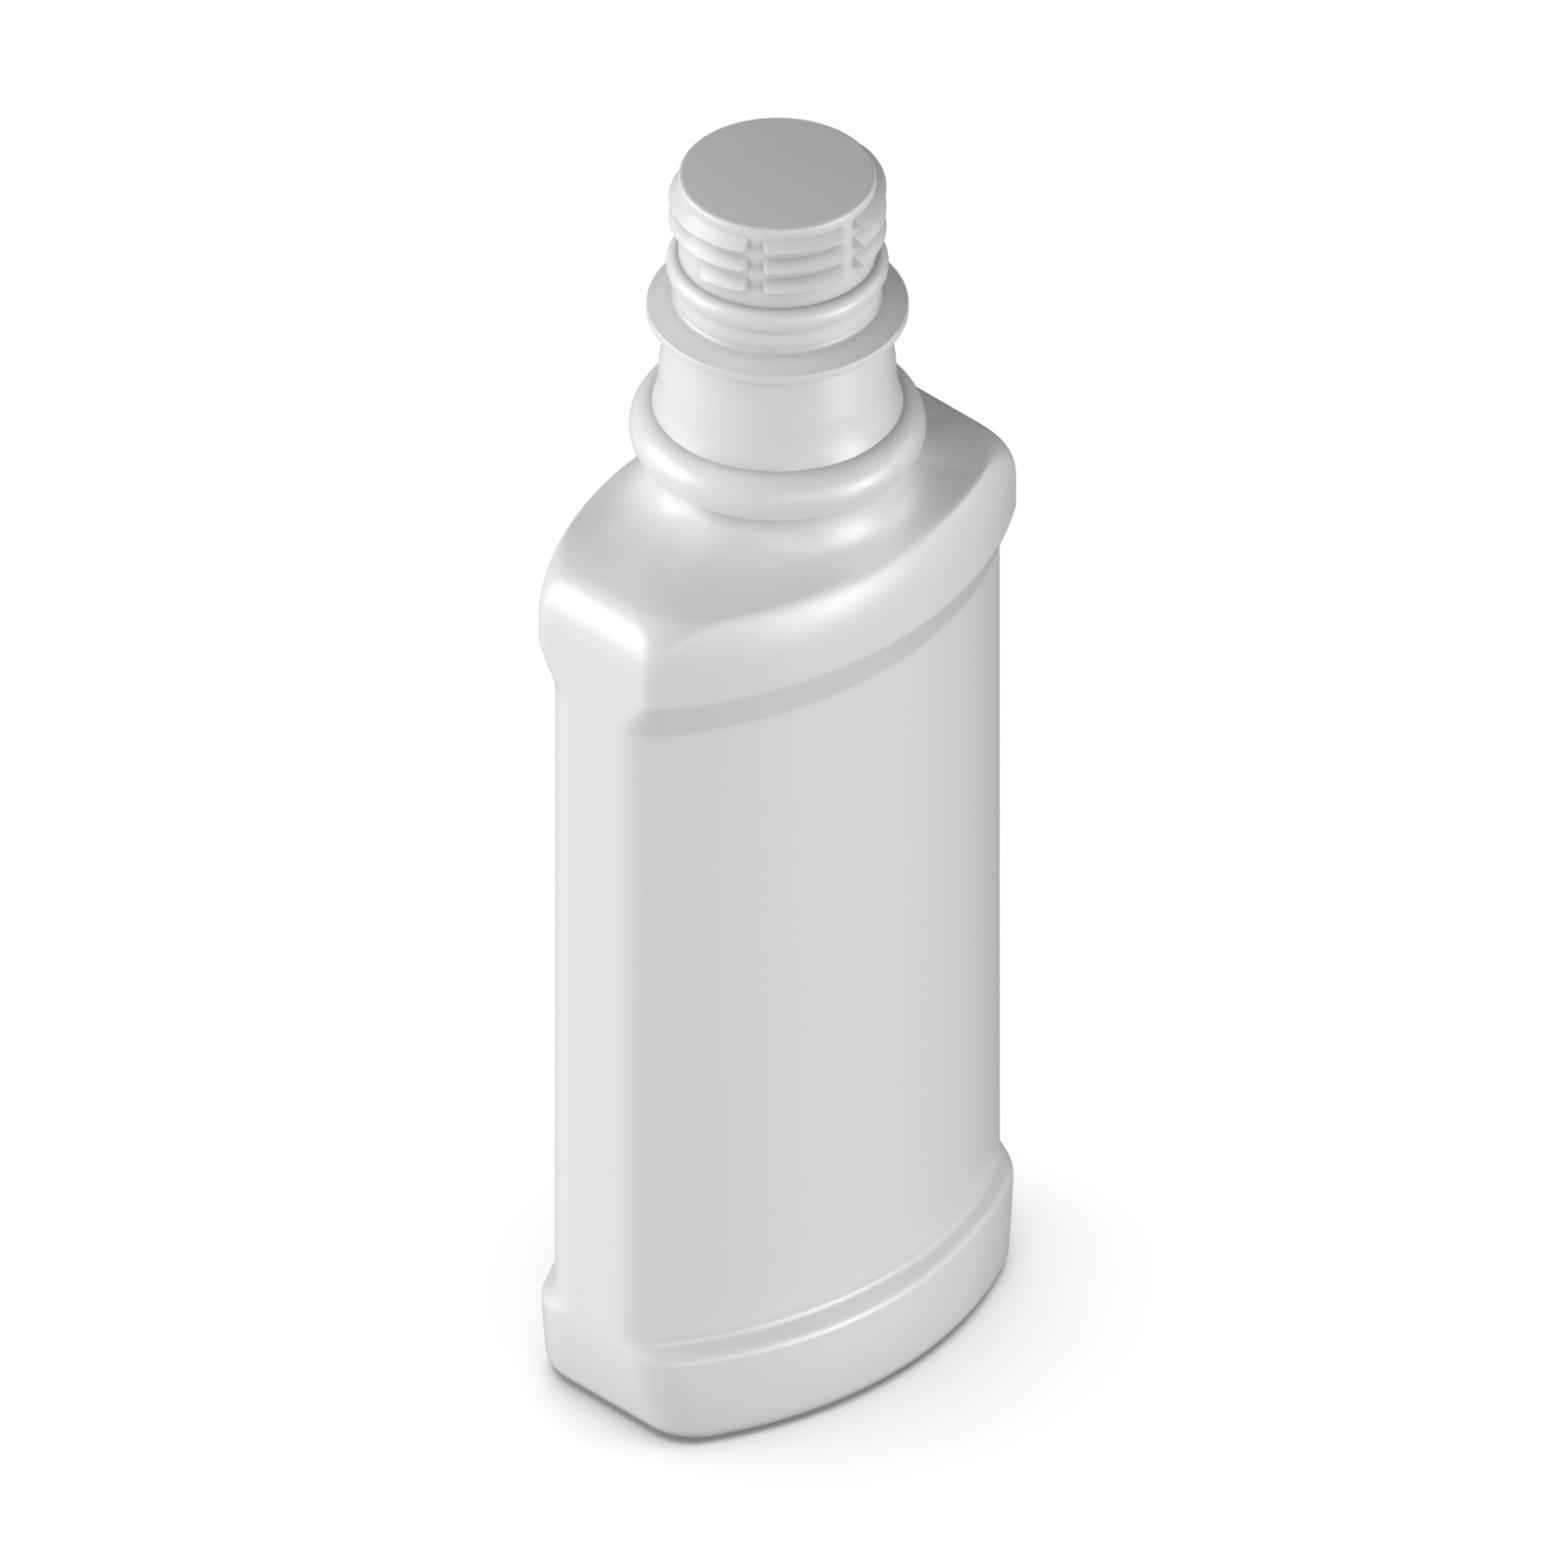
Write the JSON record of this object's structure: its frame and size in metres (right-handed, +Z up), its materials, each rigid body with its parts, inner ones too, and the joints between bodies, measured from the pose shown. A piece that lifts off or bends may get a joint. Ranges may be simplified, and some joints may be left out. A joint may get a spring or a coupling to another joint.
{
  "type": "mouthwash bottle",
  "caption": "Upright blow-moulded mouthwash bottle with a lens-shaped body, recessed label panels, ringed collar, threaded neck and a bonded mouth seal.",
  "frame": {"origin": "middle of the underside, at the level of the table", "axes": "+Z up along the axis of the neck, +X across the two narrow sides, -Y out of the front label panel"},
  "size_m": [0.0654, 0.042, 0.1753],
  "materials": {
    "bottle": "glossy white moulded plastic",
    "mouth_seal": "matt grey laminated film"
  },
  "bodies": {
    "root": {"bottle": "bottle", "mouth_seal": "mouth_seal"}
  },
  "joints": []
}
